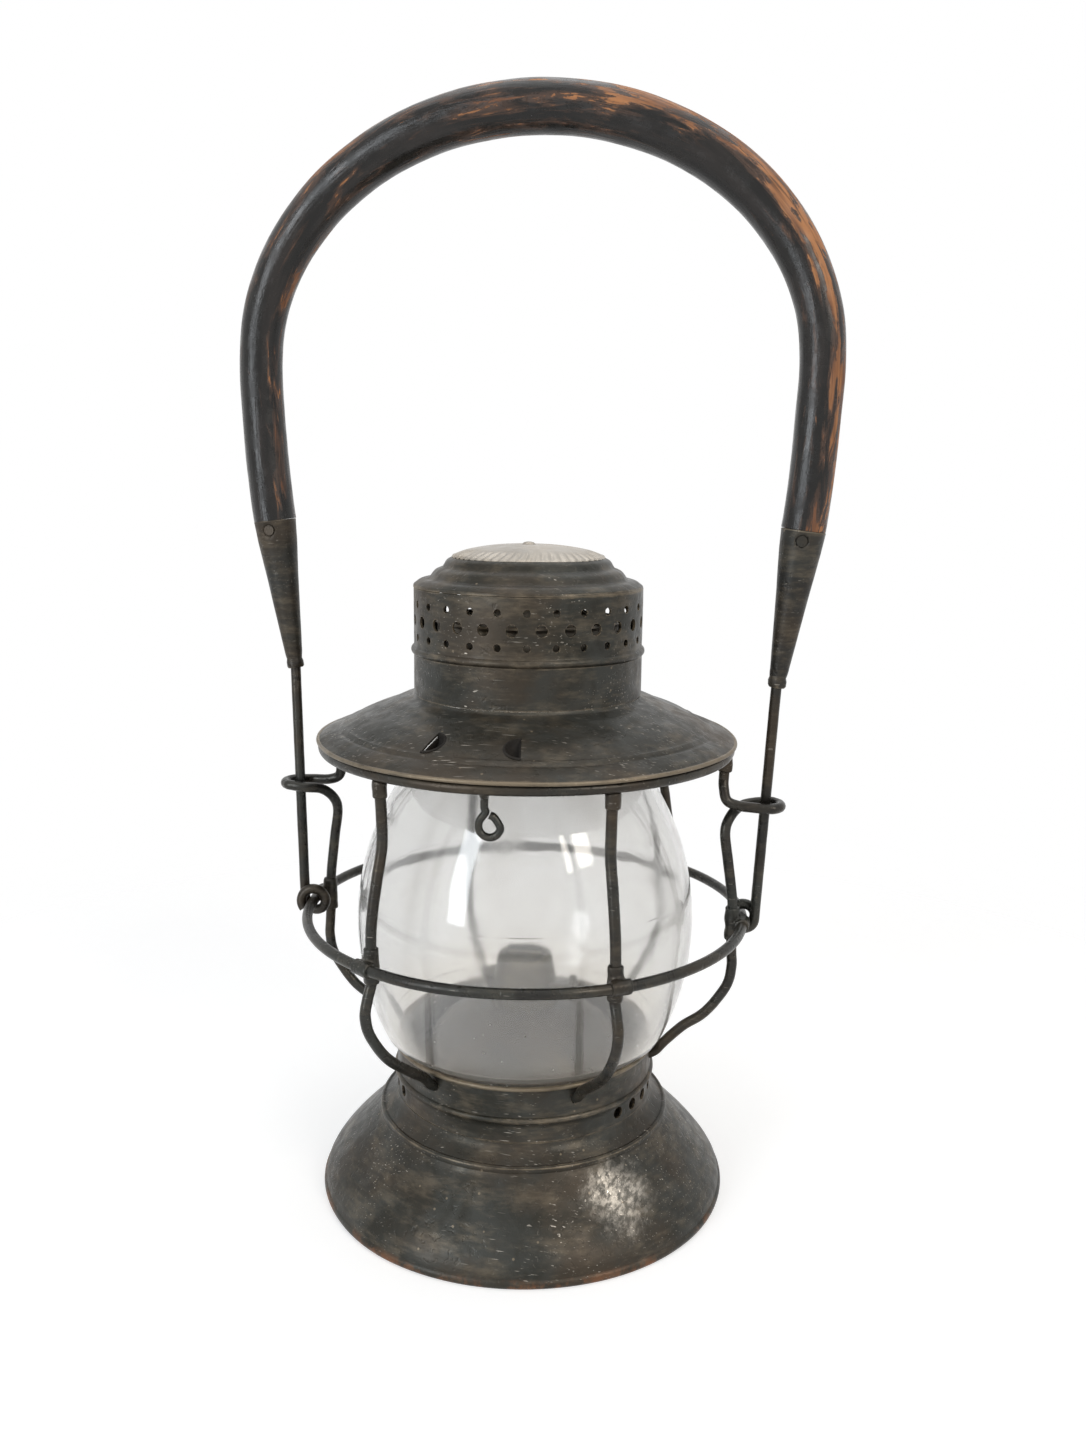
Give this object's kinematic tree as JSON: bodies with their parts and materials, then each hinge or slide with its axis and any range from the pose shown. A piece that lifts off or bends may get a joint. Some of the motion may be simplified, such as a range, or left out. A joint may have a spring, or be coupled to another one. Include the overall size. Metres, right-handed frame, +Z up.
{
  "type": "railroad signal lantern",
  "caption": "Bell-bottomed wire-guard hand lantern with clear globe, hinged vented lid and fixed wooden bail.",
  "frame": {"origin": "centre of the foot on the floor", "axes": "+Z up, the bail lies along X, the lid catch hangs at the front towards -Y"},
  "size_m": [0.2214, 0.1718, 0.4119],
  "materials": {
    "japanned_tin": "dark brown-black japanning, worn",
    "worn_tin": "tarnished bare tin and solder",
    "guard_wire": "tarnished dark wire",
    "cap_tin": "bright worn tin",
    "fount_tin": "aged tin",
    "burner_brass": "dull aged brass",
    "globe_glass": "clear old pressed glass",
    "painted_wood": "black paint worn to brown wood",
    "wick_cotton": "woven cotton"
  },
  "bodies": {
    "frame": {"base_bell": "japanned_tin", "foot_hem_wire": "worn_tin", "base_collar": "japanned_tin", "globe_seat": "worn_tin", "fount_sleeve": "worn_tin", "fount_catches": "worn_tin", "globe": "globe_glass", "guard_ring": "guard_wire", "top_ring": "guard_wire", "guard_wire_front_left": "guard_wire", "guard_wire_front_right": "guard_wire", "guard_wire_back_right": "guard_wire", "guard_wire_back_left": "guard_wire", "loop_wire_right": "guard_wire", "loop_wire_left": "guard_wire", "ring_clips": "worn_tin", "top_clips": "worn_tin"},
    "lid": {"lid_brim": "japanned_tin", "lid_neck": "japanned_tin", "vent_band": "japanned_tin", "crown": "japanned_tin", "crown_cap": "cap_tin", "cap_stud": "cap_tin", "draught_tube": "worn_tin", "globe_retainer": "worn_tin", "hinge_strap": "worn_tin", "catch_lug": "worn_tin", "catch_pin": "worn_tin"},
    "catch": {"lid_catch": "guard_wire"},
    "bail": {"bail_grip": "painted_wood", "ferrule_right": "japanned_tin", "ferrule_left": "japanned_tin", "bail_leg_right": "guard_wire", "bail_leg_left": "guard_wire", "ferrule_nails": "guard_wire"},
    "fount": {"fount_pot": "fount_tin", "fount_dome": "fount_tin", "fount_lugs": "fount_tin", "filler_neck": "burner_brass", "burner_collar": "burner_brass", "burner_cone": "burner_brass", "wick_tube": "burner_brass"},
    "filler": {"filler_cap": "burner_brass"},
    "raiser": {"raiser_shaft": "burner_brass", "spur_wheel": "burner_brass", "thumb_wheel": "burner_brass"},
    "wick": {"wick": "wick_cotton"}
  },
  "joints": [
    {"name": "lid_hinge", "type": "hinge", "parent": "frame", "child": "lid", "pos_m": [0, 0.0765, 0.1782], "axis": [-1, 0, 0], "range_deg": [0, 110]},
    {"name": "catch_swing", "type": "hinge", "parent": "lid", "child": "catch", "pos_m": [0, -0.0701, 0.17693], "axis": [1, 0, 0], "range_deg": [-15, 45]},
    {"name": "bail_rock", "type": "hinge", "parent": "frame", "child": "bail", "pos_m": [0, 0, 0.1116], "axis": [1, 0, 0], "range_deg": [-2, 2]},
    {"name": "fount_twist", "type": "hinge", "parent": "frame", "child": "fount", "pos_m": [0, 0, 0.015], "axis": [0, 0, 1], "range_deg": [0, 30]},
    {"name": "filler_turn", "type": "hinge", "parent": "fount", "child": "filler", "pos_m": [-0.01549, 0.02212, 0.072], "axis": [0, 0, 1], "continuous": true},
    {"name": "raiser_turn", "type": "hinge", "parent": "fount", "child": "raiser", "pos_m": [0, -0.00485, 0.082], "axis": [1, 0, 0], "range_deg": [-90, 135]},
    {"name": "wick_slide", "type": "slide", "parent": "fount", "child": "wick", "axis": [0, 0, 1], "range_m": [-0.0053, 0.008]}
  ],
  "couplings": [
    {"joint": "raiser_turn", "follows": "wick_slide", "rad_per_m": 294.12}
  ]
}
